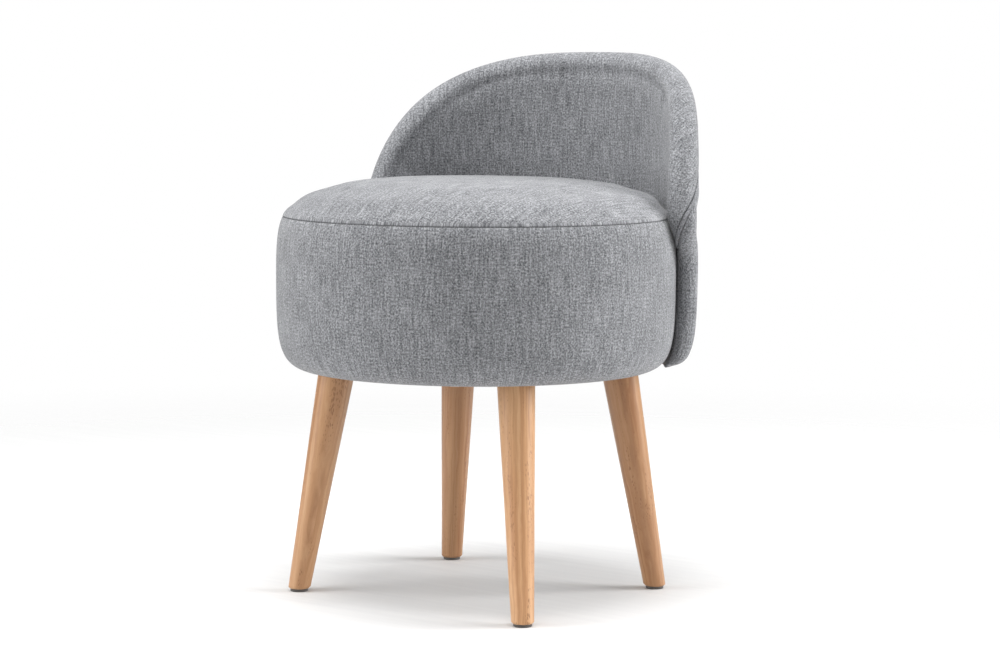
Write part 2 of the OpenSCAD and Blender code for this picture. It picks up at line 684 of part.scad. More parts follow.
module plate_screws() {
    color("gray") for (s = LEGS) at_plate_screws(s, base_top_z + plate_t) wood_screw(plate_screw_l);
}

module post_screws() {
    color("gray") {
        at_posts(pad_z - screw_head_h) wood_screw(post_screw_l);
        at_posts(base_z + screw_head_h) mirror([0, 0, 1]) wood_screw(post_screw_l);
    }
}

module back_bolts() {
    head_r = post_in_r - washer_t;
    color("silver") for (side = [-1, 1], z = [bolt_low_z, bolt_high_z]) radial(side * bolt_angle, z) {
        translate([0, 0, head_r - bolt_head_h]) difference() {
            cylinder(d = bolt_head_d, h = bolt_head_h);
            translate([0, 0, -over]) cylinder(d = bolt_key_d, h = over + bolt_head_h / 2, $fn = 6);
        }
        translate([0, 0, head_r]) cylinder(d = bolt_d, h = ply_out_r - head_r);
    }
}

module back_washers() {
    color("silver") for (side = [-1, 1], z = [bolt_low_z, bolt_high_z]) radial(side * bolt_angle, z)
        translate([0, 0, post_in_r - washer_t]) difference() {
            cylinder(d = washer_d, h = washer_t);
            translate([0, 0, -over]) cylinder(d = bolt_d + gap, h = washer_t + 2 * over);
        }
}

module back_tee_nuts() {
    color("silver") for (side = [-1, 1], z = [bolt_low_z, bolt_high_z]) radial(side * bolt_angle, z)
        difference() {
            union() {
                translate([0, 0, ply_in_r]) cylinder(d = tee_barrel_d, h = ply_t);
                translate([0, 0, ply_out_r]) cylinder(d = tee_d, h = tee_t);
            }
            translate([0, 0, ply_in_r - over]) cylinder(d = bolt_d + gap, h = ply_t + over);
        }
}

module foot_glides() {
    r = glide_d / 2;
    nail_r = glide_nail_d / 2;
    color("dimgray") for (s = LEGS) translate(leg_at(s, glide_t) - [0, 0, glide_t]) rotate_extrude()
        polygon([[0, 0], [r - glide_chamfer, 0], [r, glide_chamfer], [r, glide_t], [nail_r, glide_t],
            [nail_r, glide_t + glide_nail - glide_nail_d], [0, glide_t + glide_nail]]);
}

base_board();
seat_board();
post(-bolt_angle);  // post_rear_left
post(bolt_angle);  // post_rear_right
post(-post_side_angle);  // post_side_left
post(post_side_angle);  // post_side_right
post(-post_front_angle);  // post_front_left
post(post_front_angle);  // post_front_right
drum_wall();
side_foam();
seat_foam();
seat_crown_cover();
seat_side_cover();
dust_cover();
back_plywood();
back_inner_foam();
back_outer_foam();
back_inner_cover();
back_outer_cover();
back_welt();
leg(LEGS[0]);  // front_left_leg
leg(LEGS[1]);  // front_right_leg
leg(LEGS[2]);  // rear_left_leg
leg(LEGS[3]);  // rear_right_leg
leg_bolts();
leg_threaded_plates();
plate_screws();
post_screws();
back_bolts();
back_washers();
back_tee_nuts();
foot_glides();
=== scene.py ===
import math

import bmesh
import bpy
import numpy as np
from mathutils import Matrix, Vector, noise


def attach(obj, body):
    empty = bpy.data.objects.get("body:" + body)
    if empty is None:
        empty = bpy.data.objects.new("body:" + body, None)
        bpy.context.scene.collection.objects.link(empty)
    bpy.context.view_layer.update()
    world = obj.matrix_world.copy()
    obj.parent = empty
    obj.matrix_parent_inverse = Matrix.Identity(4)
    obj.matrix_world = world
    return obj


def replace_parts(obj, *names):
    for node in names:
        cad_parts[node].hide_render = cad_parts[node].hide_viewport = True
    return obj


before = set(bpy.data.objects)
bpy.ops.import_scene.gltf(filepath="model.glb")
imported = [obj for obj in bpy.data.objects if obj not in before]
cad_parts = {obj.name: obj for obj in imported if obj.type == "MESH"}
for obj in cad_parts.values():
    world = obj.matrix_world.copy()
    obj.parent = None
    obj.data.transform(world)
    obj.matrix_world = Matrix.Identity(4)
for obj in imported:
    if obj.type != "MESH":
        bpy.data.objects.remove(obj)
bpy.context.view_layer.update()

MM = 0.001

# ---------------------------------------------------------------- sizes, in millimetres and degrees
# The drum, as the CAD has it: its widest line and centre, the side band's corner, belly and seam,
# the crown and its shoulder, then the hem, the seat board's top and the dust cover.
DRUM_R, DRUM_Y = 201.0, -10.75
UNDER_Z, UNDER_FLAT_R, CORNER_RISE, BELLY_Z = 230.0, 168.0, 31.0, 325.0
SEAM_R, SEAM_Z, SEAM_INSET = 194.5, 383.0, 6.5
CROWN_Z, CROWN_LEVEL_R, SHOULDER_IN, SHOULDER_UP = 421.5, 160.0, 13.5, 25.0
HEM_R, BOARD_TOP_Z, DUST_R = 155.0, 360.0, 160.0

# The back, as the CAD has it: its two faces, how they lean and round under, half of the angle that
# it wraps above and below the neck, and its arch.
BACK_IN_R, BACK_OUT_R, BACK_TOP_Z, BACK_LOW_Z = 196.0, 222.5, 549.0, 232.0
BACK_LEAN, BACK_EASE, BACK_ROUND_Z = 3.5, 0.8, 350.0
WRAP, LOW_WRAP = 69.5, 56.5
ARCH_LOW_Z, ARCH_POWER, WIDE_Z, NECK_Z = 300.0, 2.7, 388.0, 335.0
MEAN_R = (BACK_IN_R + BACK_OUT_R) / 2
DEG = math.radians(MEAN_R)    # length of one degree in the unrolled back
ROLL_R = (BACK_OUT_R - BACK_IN_R) / 2
ROLL_LEN = math.pi * ROLL_R    # round the edge roll, from the inner face to the outer
ROLL_TOP_Z = BACK_TOP_Z - ROLL_R

# The back's mesh: the band of lines along its edge (its width, and from what height it is full),
# how the lines' feet fan out under it, in degrees, and how thick its two padded panels are.
BAND_W, BAND_END_W, BAND_FULL_Z = 48.0, 0.3, 430.0
FAN, FAN_END = 43.0, 53.5
PAD_T = 4.0

# The welt: its width, the groove on each side, the height of its ends, half of the seam's width
# under them, and its line as pairs of height and distance round the roll from the inner face. The
# line follows the photograph, and leaves the CAD's between heights of 354 and 440.
WELT_W, WELT_GROOVE, WELT_END_Z, BARE_SEAM_HALF = 4.0, 0.9, 354.0, 0.2
WELT_LINE = [(354, 4), (360, 5.5), (366, 9), (378, 19.5), (389, 29), (404, 39.5), (416, 49),
             (432, 63), (452, 77.6)]

# The legs: height of their tops, then how far out the front and rear feet stand and at what angle
# from the Y axis, and how far a leg leans in along X and Y.
LEG_TOP_Z, FOOT_OUT, FOOT_ANGLE, LEAN = 229.4, (179.6, 186.5), (52.5, 45.5), (29.5, 26.5)

CREST = 0.9    # how far the pads' faces start inside their final place, which the simulation fills
SWELL = 2.0    # the most that a point moves in the simulation
ROLL_SWELL = 1.3    # how far the back's roll starts outside, as the simulation draws it in
STEP = 4.8    # spacing of the mesh lines

# The third flat coordinate of each panel, so that no two have the same yarns.
BAND_LAYER, CROWN_LAYER, BACK_LAYER, WELT_LAYER = 0.0, 90.0, 200.0, 40.0


# ---------------------------------------------------------------- curves and meshes
def bezier(a, b, c, d):
    """A cubic curve from a to d, in 60 steps."""
    t = np.linspace(0, 1, 61)[:, None]
    a, b, c, d = (np.array(p, float) for p in (a, b, c, d))
    return (1 - t) ** 3 * a + 3 * (1 - t) ** 2 * t * b + 3 * (1 - t) * t ** 2 * c + t ** 3 * d


def lengths(p):
    """Distance along a line of points, at each of them."""
    return np.concatenate([[0], np.cumsum(np.linalg.norm(np.diff(p, axis=0), axis=1))])


def spaced(p, n):
    """n + 1 points at equal distances along a line of points."""
    s = lengths(p)
    at = np.linspace(0, s[-1], n + 1)
    return np.stack([np.interp(at, s, p[:, k]) for k in range(p.shape[1])], 1)


def offset(p, d):
    """An outline moved inwards by d along its normals, the inside being on its left."""
    t = np.gradient(p, axis=0)
    t /= np.maximum(np.linalg.norm(t, axis=1), 1e-9)[:, None]
    return p + np.asarray(d)[..., None] * np.stack([-t[:, 1], t[:, 0]], 1)


def smoothstep(t):
    t = np.clip(t, 0, 1)
    return t * t * (3 - 2 * t)


def rise(x, start, reach):
    """0 up to start, 1 from start + reach on, and smooth between."""
    return smoothstep((x - start) / reach)


def hump(x, middle, reach):
    """1 at the middle, falling off smoothly on both sides."""
    return np.exp(-((x - middle) / reach) ** 2)


def perlin(points, size, seed):
    """Smooth noise from -1 to 1 at points in millimetres."""
    shift = Vector((seed, 3.7 * seed, 1.3))
    return np.array([noise.noise(Vector(p) / size + shift) for p in points])


def make(name, points, faces, material, weave=None, smooth=True):
    """A mesh object from points in millimetres, with the cloth's flat places as an attribute."""
    me = bpy.data.meshes.new(name)
    points = np.asarray(points, float) * MM
    me.from_pydata(points.tolist(), [], [list(map(int, f)) for f in faces])
    if weave is not None:
        layer = me.attributes.new("weave", "FLOAT_VECTOR", "POINT")
        flat = (np.asarray(weave, float) * MM).astype(np.float32)
        layer.data.foreach_set("vector", flat.ravel())
    me.polygons.foreach_set("use_smooth", [smooth] * len(me.polygons))
    me.materials.append(material)
    ob = bpy.data.objects.new(name, me)
    bpy.context.scene.collection.objects.link(ob)
    return ob


def grid_faces(m, n, wrap_m=False, wrap_n=False):
    """Quads of m lines of n points, one line after another."""
    return [(i * n + j, i * n + (j + 1) % n, (i + 1) % m * n + (j + 1) % n, (i + 1) % m * n + j)
            for i in range(m if wrap_m else m - 1) for j in range(n if wrap_n else n - 1)]


def closed_loft(m, n):
    """Faces for m closed cross-sections of n points, with strips between the two skins as ends."""
    faces = grid_faces(m, n, wrap_n=True)
    for base, turn in ((0, 1), ((m - 1) * n, -1)):
        for j in range(n // 2 - 1):
            faces.append([base + k for k in (j, n - 1 - j, n - 2 - j, j + 1)[::turn]])
    return faces


def tube_faces(m, n, base=0):
    """Faces round a tube of m rings of n points, with a cap at each end."""
    faces = [[base + k for k in f] for f in grid_faces(m, n, wrap_n=True)]
    last = base + (m - 1) * n
    return faces + [list(range(base, base + n))[::-1], list(range(last, last + n))]


def outwards(ob):
    """Turns all faces to point out of a closed mesh."""
    bm = bmesh.new()
    bm.from_mesh(ob.data)
    bmesh.ops.recalc_face_normals(bm, faces=bm.faces)
    if bm.calc_volume(signed=True) < 0:
        bmesh.ops.reverse_faces(bm, faces=bm.faces)
    bm.to_mesh(ob.data)
    bm.free()


def soften(ob):
    """Rounds a mesh between its lines, by one level of subdivision."""
    mod = ob.modifiers.new("subdivision", "SUBSURF")
    mod.levels = mod.render_levels = 1


def inflate(ob, free):
    """Cloth under pressure from inside, on the faces that free (0 to 1 at each point) lets move.

    No point moves further than SWELL, and one that free holds stays."""
    held, frames, pressure = 0.02, 20, 4.0
    me, scene = ob.data, bpy.context.scene
    start = np.zeros(len(me.vertices) * 3, np.float32)
    me.vertices.foreach_get("co", start)
    start = start.reshape(-1, 3).astype(float)
    quads = np.array([f.vertices[:] for f in me.polygons if len(f.vertices) == 4])
    quads = quads[(free[quads] > held).any(axis=1)]
    kept, quads = np.unique(quads, return_inverse=True)
    cloth_mesh = bpy.data.meshes.new("cloth")
    cloth_mesh.from_pydata(start[kept].tolist(), [], quads.reshape(-1, 4).tolist())
    cloth_ob = bpy.data.objects.new("cloth", cloth_mesh)
    scene.collection.objects.link(cloth_ob)
    pin = cloth_ob.vertex_groups.new(name="pin")
    pin.add([int(i) for i in np.nonzero(free[kept] < held)[0]], 1.0, "REPLACE")
    mod = cloth_ob.modifiers.new("cloth", "CLOTH")
    cloth = mod.settings
    cloth.quality = 6
    cloth.mass = 0.3
    cloth.tension_stiffness = cloth.compression_stiffness = 15
    cloth.shear_stiffness = 5
    cloth.bending_stiffness = 0.5
    cloth.use_pressure = True
    cloth.uniform_pressure_force = pressure
    cloth.vertex_group_mass = "pin"
    cloth.effector_weights.gravity = 0
    mod.collision_settings.use_collision = False
    mod.collision_settings.use_self_collision = False
    mod.point_cache.frame_start, mod.point_cache.frame_end = 1, frames
    for f in range(1, frames + 1):
        scene.frame_set(f)
    posed = cloth_ob.evaluated_get(bpy.context.evaluated_depsgraph_get()).data
    end = np.zeros(len(kept) * 3, np.float32)
    posed.vertices.foreach_get("co", end)
    move = (end.reshape(-1, 3) - start[kept]) / MM
    bpy.data.objects.remove(cloth_ob)
    bpy.data.meshes.remove(cloth_mesh)
    scene.frame_set(1)
    length = np.maximum(np.linalg.norm(move, axis=1), 1e-9)
    move *= (SWELL * np.tanh(length / SWELL) / length * free[kept])[:, None]
    start[kept] += move * MM
    me.vertices.foreach_set("co", start.astype(np.float32).ravel())
    me.update()
    print(f"{ob.name}: the simulation moved it up to {np.linalg.norm(move, axis=1).max():.2f} mm")


# ---------------------------------------------------------------- materials
class Graph:
    """One material, with short names for its nodes."""

    def __init__(self, name, **shader):
        self.mat = bpy.data.materials.new(name)
        self.mat.use_nodes = True
        self.tree = self.mat.node_tree
        self.shader = self.fill(self.tree.nodes["Principled BSDF"], **shader)

    def put(self, value, socket):
        if isinstance(value, bpy.types.NodeSocket):
            self.tree.links.new(value, socket)
        else:
            socket.default_value = value

    def fill(self, node, **inputs):
        """Sets or links a node's inputs by their names."""
        for key, value in inputs.items():
            self.put(value, node.inputs[key.replace("_", " ")])
        return node

    def add(self, kind, *values, **props):
        """A new node, with its first inputs and its properties."""
        n = self.tree.nodes.new("ShaderNode" + kind)
        for key, value in props.items():
            setattr(n, key, value)
        for i, value in enumerate(values):
            self.put(value, n.inputs[i])
        return n

    def math(self, op, *values):
        return self.add("Math", *values, operation=op).outputs[0]

    def times(self, vector, factor):
        factor = (factor,) * 3 if np.isscalar(factor) else factor
        return self.add("VectorMath", vector, factor, operation="MULTIPLY").outputs[0]

    def plus(self, a, b):
        return self.add("VectorMath", a, b, operation="ADD").outputs[0]

    def split(self, vector):
        return self.add("SeparateXYZ", vector).outputs

    def blot(self, at, scale, detail=2.0, roughness=0.5, shift=None):
        """Noise of so many blots per millimetre along each axis, from a patch of its own."""
        at = self.times(at, scale)
        at = at if shift is None else self.plus(at, shift)
        return self.fill(self.add("TexNoise"), Vector=at, Scale=1.0, Detail=detail,
                         Roughness=roughness).outputs[0]

    def wander(self, at, scale, reach):
        """A place moved by noise, up to half of reach each way."""
        drift = self.add("TexNoise", self.times(at, scale)).outputs[1]
        return self.plus(at, self.times(self.plus(drift, (-0.5, -0.5, -0.5)), reach))

    def ramp(self, factor, *stops):
        n = self.add("ValToRGB", factor)
        while len(n.color_ramp.elements) < len(stops):
            n.color_ramp.elements.new(0.5)
        for element, (place, colour) in zip(n.color_ramp.elements, stops):
            element.position = place
            element.color = ((colour,) * 3 if np.isscalar(colour) else tuple(colour)) + (1,)
        return n.outputs[0]

    def mix(self, factor, a, b, blend="MIX"):
        n = self.add("Mix", data_type="RGBA", blend_type=blend)
        for i, value in ((0, factor), (6, a), (7, b)):
            self.put(value + (1,) if isinstance(value, tuple) else value, n.inputs[i])
        return n.outputs[2]

    def finish(self, colour, height, strength, distance, **shader):
        """Links the colour, the bump and any other inputs to the shader."""
        bump = self.fill(self.add("Bump"), Strength=strength, Distance=distance, Height=height)
        self.fill(self.shader, Base_Color=colour, Normal=bump.outputs[0], **shader)
        return self.mat

    def object_mm(self):
        return self.times(self.add("TexCoord").outputs["Object"], 1000.0)


def woven(name, dark, mid, light, contrast=1.0):
    """Plain weave of mixed yarns with slubs, laid on the cloth's flat coordinates."""
    g = Graph(name, Roughness=0.92, Sheen_Weight=0.22, Sheen_Roughness=0.45,
              Specular_IOR_Level=0.15)
    pitch = 0.8    # millimetres from yarn to yarn
    flat = g.times(g.add("Attribute", attribute_name="weave").outputs["Vector"], 1000.0)
    u, v, _ = g.split(g.wander(flat, 0.16, 0.9))
    su = g.math("SINE", g.math("MULTIPLY", u, math.pi / pitch))
    sv = g.math("SINE", g.math("MULTIPLY", v, math.pi / pitch))
    over = g.math("GREATER_THAN", g.math("MULTIPLY", su, sv), 0.0)
    au, av = g.math("ABSOLUTE", su), g.math("ABSOLUTE", sv)
    warp = g.math("MULTIPLY", g.math("POWER", au, 0.8), g.math("POWER", av, 0.3))
    weft = g.math("MULTIPLY", g.math("POWER", av, 0.8), g.math("POWER", au, 0.3))
    height = g.math("MULTIPLY_ADD", g.math("SUBTRACT", warp, weft), over, weft)
    # each yarn has its own tone, short across it and long along it
    warp_tone = g.blot(flat, (1.15, 0.13, 1), 2.0, 0.7)
    weft_tone = g.blot(flat, (0.13, 1.15, 1), 2.0, 0.7, shift=(31.0, 7.0, 3.0))
    yarn = g.math("MULTIPLY_ADD", g.math("SUBTRACT", warp_tone, weft_tone), over, weft_tone)
    speck = g.blot(flat, (0.62, 0.5, 1), 1.0, 0.6, shift=(5.0, 17.0, 1.0))
    slub = g.blot(flat, (0.42, 0.035, 1), 1.5, 0.6, shift=(2.0, 9.0, 5.0))
    cross_slub = g.blot(flat, (0.05, 0.5, 1), 1.5, 0.6, shift=(12.0, 4.0, 8.0))
    cloud = g.blot(flat, 0.022)
    value = g.math("SUBTRACT", yarn, 0.5)
    for part, share in ((speck, 1.5), (slub, 0.75), (cross_slub, 0.35), (cloud, 0.22)):
        value = g.math("MULTIPLY_ADD", g.math("SUBTRACT", part, 0.5), share, value)
    value = g.math("MULTIPLY_ADD", value, contrast, 0.5)
    colour = g.ramp(value, (0.16, dark), (0.5, mid), (0.84, light))
    # painted shade: the gaps between the yarns are darker
    shade = g.math("MULTIPLY_ADD", height, 0.34, 0.74)
    colour = g.mix(1.0, colour, g.add("CombineXYZ", shade, shade, shade).outputs[0], "MULTIPLY")
    return g.finish(colour, g.math("MULTIPLY_ADD", slub, 0.8, height), 0.55, 0.00022)


def beech(name, foot, direction, seed, tone):
    """Turned beech: soft bands along the leg, fine pores and short dark ray flecks."""
    g = Graph(name, Coat_Weight=0.12, Coat_Roughness=0.3)
    # places in the leg's own frame, along its axis from the foot, and each leg from its own plank
    axis = g.add("Mapping", g.add("TexCoord").outputs["Object"], vector_type="TEXTURE")
    g.fill(axis, Location=Vector(foot) * MM,
           Rotation=Vector(direction).to_track_quat("Z", "Y").to_euler())
    at = g.plus(g.times(axis.outputs[0], 1000.0), (37.0 * seed, 11.0 * seed, 500.0 * seed))
    at = g.wander(at, (0.02, 0.02, 0.005), (6, 6, 0))
    broad = g.blot(at, (0.16, 0.05, 0.0035))
    rings = g.blot(at, (0.62, 0.12, 0.006), 2.0, 0.55)
    pores = g.blot(at, (3.2, 3.2, 0.16), 2.0, 0.7)
    value = g.math("MULTIPLY_ADD", g.math("SUBTRACT", rings, 0.5), 0.8, broad)
    value = g.math("MULTIPLY_ADD", g.math("SUBTRACT", pores, 0.5), 0.22, value)
    colour = g.ramp(value, (0.25, (0.47, 0.235, 0.105)), (0.5, (0.60, 0.335, 0.165)),
                    (0.75, (0.70, 0.435, 0.24)))
    # a fleck is the middle of a long cell, larger where the noise is high and absent where low
    cell = g.fill(g.add("TexVoronoi"), Vector=g.times(at, (0.72, 0.72, 0.2)), Scale=1.0).outputs[0]
    where = g.blot(at, (0.11, 0.11, 0.012), 1.0)
    size = g.math("MULTIPLY", g.math("SUBTRACT", where, 0.46), 1.5)
    fleck = g.add("MapRange", g.math("SUBTRACT", size, cell), -0.05, 0.06, 0.0, 1.0).outputs[0]
    colour = g.mix(g.math("MULTIPLY", fleck, 0.62), colour, (0.27, 0.115, 0.045))
    # painted shade: each leg's beech is darkened by its own share, for the light that reaches it
    colour = g.mix(1.0, colour, (tone, tone ** 1.25, tone ** 1.5), "MULTIPLY")
    return g.finish(colour, g.math("SUBTRACT", pores, fleck), 0.25, 0.0001,
                    Roughness=g.math("MULTIPLY_ADD", pores, 0.22, 0.31))


def layered(name, centre_y=None):
    """Birch plywood: pale face veneer, and glued layers where its edge shows.

    The layers lie flat, or round the upright axis at centre_y."""
    g = Graph(name, Roughness=0.62)
    veneer = 1.4
    at = g.object_mm()
    x, y, depth = g.split(at)
    if centre_y is not None:
        y2 = g.math("POWER", g.math("SUBTRACT", y, centre_y), 2.0)
        depth = g.math("SQRT", g.math("ADD", g.math("MULTIPLY", x, x), y2))
    layer = g.math("SINE", g.math("MULTIPLY", depth, math.pi / veneer))
    grain = g.blot(at, (0.35, 0.02, 0.35), 3.0, 0.6)
    figure = g.blot(at, (0.05, 0.008, 0.05))
    colour = g.ramp(g.math("MULTIPLY_ADD", figure, 0.5, g.math("MULTIPLY", grain, 0.5)),
                    (0.3, (0.50, 0.32, 0.17)), (0.7, (0.72, 0.54, 0.34)))
    colour = g.mix(g.ramp(layer, (0.45, 0.0), (0.55, 0.35)), colour, (0.33, 0.18, 0.09))
    return g.finish(colour, grain, 0.3, 0.0002)


def softwood(name):
    """Planed softwood, its grain upright."""
    g = Graph(name, Roughness=0.7)
    at = g.object_mm()
    rings = g.blot(at, (0.28, 0.28, 0.008), 3.0, 0.55)
    fibre = g.blot(at, (1.6, 1.6, 0.05), 2.0, 0.6)
    colour = g.ramp(g.math("MULTIPLY_ADD", fibre, 0.25, g.math("MULTIPLY", rings, 0.8)),
                    (0.35, (0.74, 0.55, 0.33)), (0.6, (0.62, 0.40, 0.20)),
                    (0.75, (0.45, 0.25, 0.11)))
    return g.finish(colour, fibre, 0.35, 0.0002)


def speckled(name, dark, light, size, roughness, metallic=0.0):
    """Fine mottled finish: board, zinc, plastic or thread, by its colours and speck size in mm."""
    g = Graph(name, Metallic=metallic)
    at = g.object_mm()
    fine = g.blot(at, 1 / size, 3.0, 0.65)
    broad = g.blot(at, 0.12 / size)
    value = g.math("MULTIPLY_ADD", broad, 0.45, g.math("MULTIPLY", fine, 0.55))
    return g.finish(g.ramp(value, (0.32, dark), (0.68, light)), fine, 0.3, 0.0001,
                    Roughness=g.math("MULTIPLY_ADD", value, 0.3, roughness - 0.15))


def spunbond(name):
    """Non-woven dust cloth: matted fibres with a grid of small welded dimples."""
    g = Graph(name, Roughness=0.85, Sheen_Weight=0.1)
    dimple = 1.1    # millimetres from dimple to dimple
    at = g.object_mm()
    x, y, _ = g.split(at)
    dots = g.math("MULTIPLY", g.math("SINE", g.math("MULTIPLY", x, math.pi / dimple)),
                  g.math("SINE", g.math("MULTIPLY", y, math.pi / dimple)))
    fibre = g.blot(at, (2.2, 0.5, 1), 3.0, 0.7)
    tone = g.math("MULTIPLY_ADD", g.ramp(dots, (0.25, 0.0), (0.6, 1.0)), -0.25, fibre)
    return g.finish(g.ramp(tone, (0.15, 0.008), (0.7, 0.045)), tone, 0.6, 0.0002)


GREY = woven("grey_cloth_weave", (0.086, 0.088, 0.095), (0.222, 0.227, 0.239),
             (0.415, 0.422, 0.44), contrast=0.88)
# painted shade: the welt's copy of the grey cloth is darker, for the shade on its strip between the
# panels
WELT_GREY_SHADED = woven("grey_cloth_welt_shaded", (0.085, 0.088, 0.096), (0.205, 0.210, 0.223),
                  (0.39, 0.397, 0.415))
DUST = spunbond("dark_cloth_spunbond")
PLY = layered("plywood_flat")
PLY_BENT = layered("plywood_bent", DRUM_Y)
PINE = softwood("softwood_planed")
BOARD = speckled("hardboard_fibres", (0.16, 0.075, 0.03), (0.33, 0.18, 0.085), 0.9, 0.55)
ZINC = speckled("zinc_plate", (0.46, 0.47, 0.48), (0.72, 0.73, 0.74), 1.6, 0.36, metallic=1.0)
GLIDE = speckled("glide_nylon", (0.055, 0.05, 0.045), (0.11, 0.10, 0.09), 0.5, 0.5)
THREAD = speckled("seam_thread", (0.10, 0.103, 0.11), (0.20, 0.205, 0.215), 0.3, 0.8)


# ---------------------------------------------------------------- the drum's cloth
COLUMNS, CROWN_RINGS = 372, 46    # mesh lines round the side band, and rings of the crown
LOWER_SIDE = bezier((UNDER_FLAT_R, UNDER_Z), (DRUM_R, UNDER_Z), (DRUM_R, UNDER_Z + CORNER_RISE),
                    (DRUM_R, BELLY_Z))
UPPER_SIDE = bezier((DRUM_R, BELLY_Z), (DRUM_R, (BELLY_Z + SEAM_Z) / 2),
                    (SEAM_R + SEAM_INSET * 0.85, SEAM_Z - (SEAM_Z - BELLY_Z) * 0.2),
                    (SEAM_R, SEAM_Z))
SIDE = np.concatenate([LOWER_SIDE, UPPER_SIDE[1:]])
CROWN = bezier((SEAM_R, SEAM_Z), (SEAM_R - SHOULDER_IN, SEAM_Z + SHOULDER_UP),
               (CROWN_LEVEL_R, CROWN_Z), (0, CROWN_Z))
DRUM = np.concatenate([SIDE, CROWN[1:]])

# Each panel's skin stops short of the seam. A lip turns in there, as (radius, height), and goes on
# as the pad's hidden side: the band's down the foam to the hem, the crown's down to the board.
BAND_STOP, CROWN_STOP = 1.6, 1.5
BAND_LIP = [(SEAM_R + 0.15, SEAM_Z - 0.75), (SEAM_R - 0.45, SEAM_Z - 0.3),
            (SEAM_R - 1.6, SEAM_Z - 0.2)]
BAND_LIP_R, BAND_WALL_R = 189.0, 174.6
BAND_HIDDEN = [(BAND_LIP_R, SEAM_Z - 0.2), (BAND_LIP_R, 376), (BAND_LIP_R, 369),
               (BAND_LIP_R, 361.5), (182, 361), (BAND_WALL_R, 361)]
BAND_HIDDEN += [(BAND_WALL_R, z) for z in np.linspace(350, 244, 9)]
BAND_HIDDEN += [(172.4, 235.6), (167.5, 231.7), (162, 231.2), (HEM_R, 231.2)]
CROWN_LIP = [(SEAM_R - 0.05, SEAM_Z + 0.6), (SEAM_R - 0.6, SEAM_Z + 0.25),
             (SEAM_R - 1.7, SEAM_Z + 0.2)]
CROWN_HIDDEN_R = 187.0
CROWN_HIDDEN = [(CROWN_HIDDEN_R, z) for z in (SEAM_Z + 0.2, 376, 369, BOARD_TOP_Z + 2)]
CROWN_HIDDEN += [(CROWN_HIDDEN_R - 3, BOARD_TOP_Z + 1.2)]

# The seam's pull shows up to PUCKER_REACH or so from it, as waves of 60 to 150 pulls a turn.
PUCKER_REACH = 6.0
rng = np.random.default_rng(11)
PUCKER = [(int(k), rng.uniform(0, 2 * math.pi), rng.uniform(0.5, 1.0))
          for k in rng.integers(60, 150, 9)]


def pucker(angle):
    """Uneven pull of the seam's stitches round the drum, about -1 to 1."""
    return sum(a * np.sin(k * angle + p) for k, p, a in PUCKER) / 2.4


def drum_point(r, z, angle):
    """Angle 0 is straight ahead, at -Y."""
    return np.stack([r * np.sin(angle), DRUM_Y - r * np.cos(angle), z + 0 * angle], -1)


def drum_r(z):
    return np.interp(z, DRUM[:, 1], DRUM[:, 0])


def seat_side_band():
    """The side band: hem, rounded lower corner, belly and the lip that turns in at the seam."""
    fullness, seam_fade, hem_held, hem_fade = 0.2, 9, 3, 22
    pull_out, pull_down, pulled_r = 0.32, 0.16, 185
    joint_gap, joint_depth, joint_w = 0.5, 0.8, 1.2
    skin = np.concatenate([[[HEM_R, UNDER_Z]], SIDE])
    skin = skin[skin[:, 1] < SEAM_Z - BAND_STOP]
    skin = spaced(skin, int(lengths(skin)[-1] / STEP))
    to_seam = lengths(skin)[-1] - lengths(skin)
    free = rise(skin[:, 1] - UNDER_Z, hem_held, hem_fade) * rise(to_seam, 0, seam_fade)
    skin = offset(skin, -fullness * free)
    line = np.concatenate([skin, BAND_LIP, BAND_HIDDEN])
    along = lengths(line)
    hidden = len(line) - len(skin)
    # the columns start and end at the band's own joint, straight behind
    gap = joint_gap / DRUM_R
    angle = np.linspace(-math.pi + gap / 2, math.pi - gap / 2, COLUMNS)[:, None]
    pull = pucker(angle) * np.exp(-abs(along - along[len(skin)]) / PUCKER_REACH)
    pull *= line[:, 0] > pulled_r
    joint = hump((np.pi - abs(angle)) * DRUM_R, 0, joint_w) * (np.arange(len(line)) < len(skin))
    points = drum_point(line[:, 0] + pull_out * pull - joint_depth * joint,
                        line[:, 1] - pull_down * pull, angle)
    weave = np.stack(np.broadcast_arrays(angle * DRUM_R, along, BAND_LAYER), -1)
    ob = make("seat_side_band", points.reshape(-1, 3), grid_faces(COLUMNS, len(line), True, True),
              GREY, weave.reshape(-1, 3))
    outwards(ob)
    # the band is held behind the back
    open_front = np.cos(angle) > -math.cos(math.radians(WRAP + 2))
    inflate(ob, (open_front * np.append(free, np.zeros(hidden))).ravel())
    return ob


def disc(k):
    """A disc of quads in k round rings: each point's ring and angle, faces, and rim's points."""
    i, j = np.meshgrid(np.arange(-k, k + 1), np.arange(-k, k + 1), indexing="ij")
    i, j = i.ravel().astype(float), j.ravel().astype(float)
    ring = np.maximum(abs(i), abs(j))
    with np.errstate(divide="ignore", invalid="ignore"):
        flat = np.where(i > 0, 0, np.pi) + np.pi / 4 * (j / i)
        steep = np.where(j > 0, np.pi / 2, 1.5 * np.pi) - np.pi / 4 * (i / j)
    angle = np.where(abs(i) >= abs(j), flat, steep)
    angle[ring == 0] = 0
    rim = np.nonzero(ring == k)[0]
    rim = rim[np.argsort(angle[rim] % (2 * np.pi), kind="stable")]
    return ring.astype(int), angle, grid_faces(2 * k + 1, 2 * k + 1), rim


